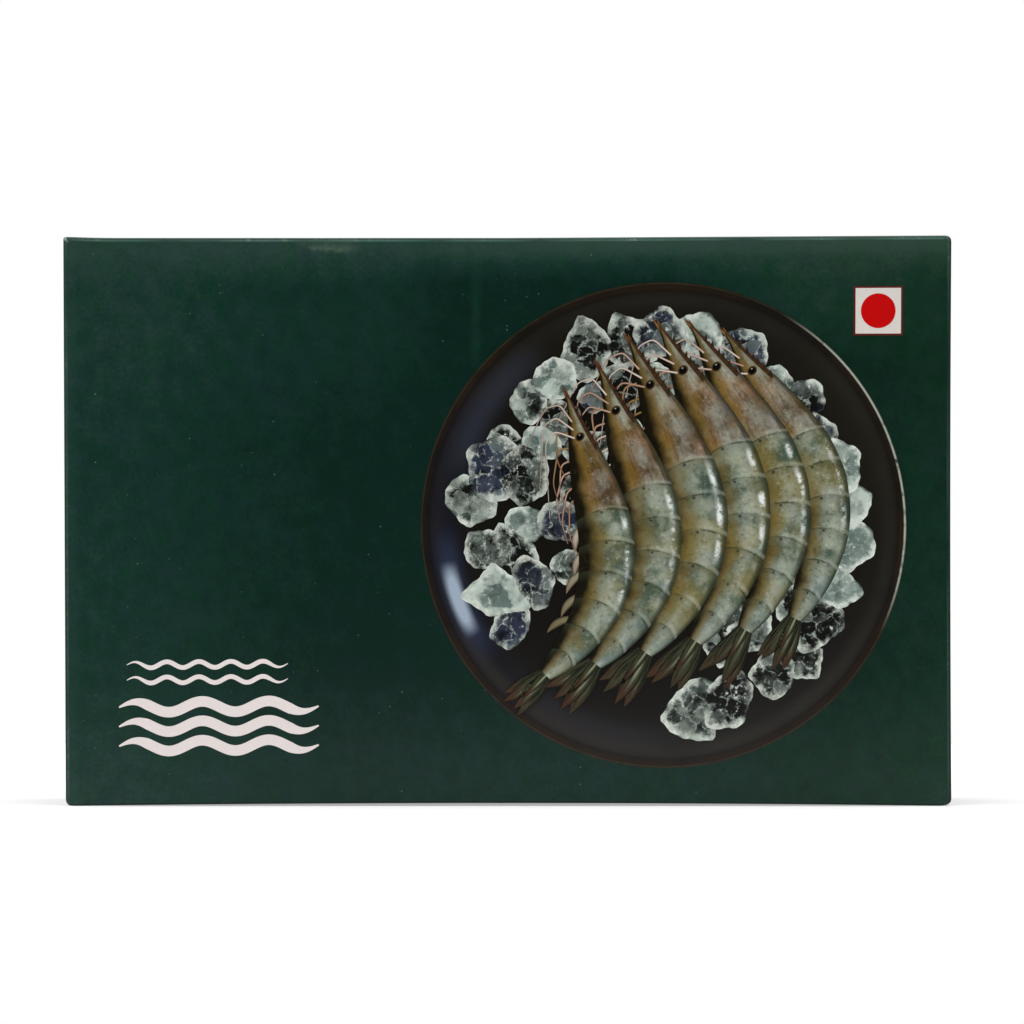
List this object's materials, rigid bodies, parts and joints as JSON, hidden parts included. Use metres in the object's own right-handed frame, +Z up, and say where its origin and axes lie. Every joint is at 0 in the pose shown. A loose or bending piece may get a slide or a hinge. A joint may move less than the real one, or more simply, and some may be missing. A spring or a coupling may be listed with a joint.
{
  "type": "closed printed food carton",
  "caption": "Shut flat carton of folded laminated board for frozen seafood, with a hinged front lid, tuck seams and a printed front.",
  "frame": {"origin": "centre of the footprint, on the floor that the carton stands on", "axes": "+X to the right along the carton's longest side, +Y from the printed front panel to the back panel, +Z up"},
  "size_m": [0.21, 0.0452, 0.1349],
  "materials": {
    "board": "gloss laminated folding boxboard, dark green print"
  },
  "bodies": {
    "root": {"carton": "board"}
  },
  "joints": []
}
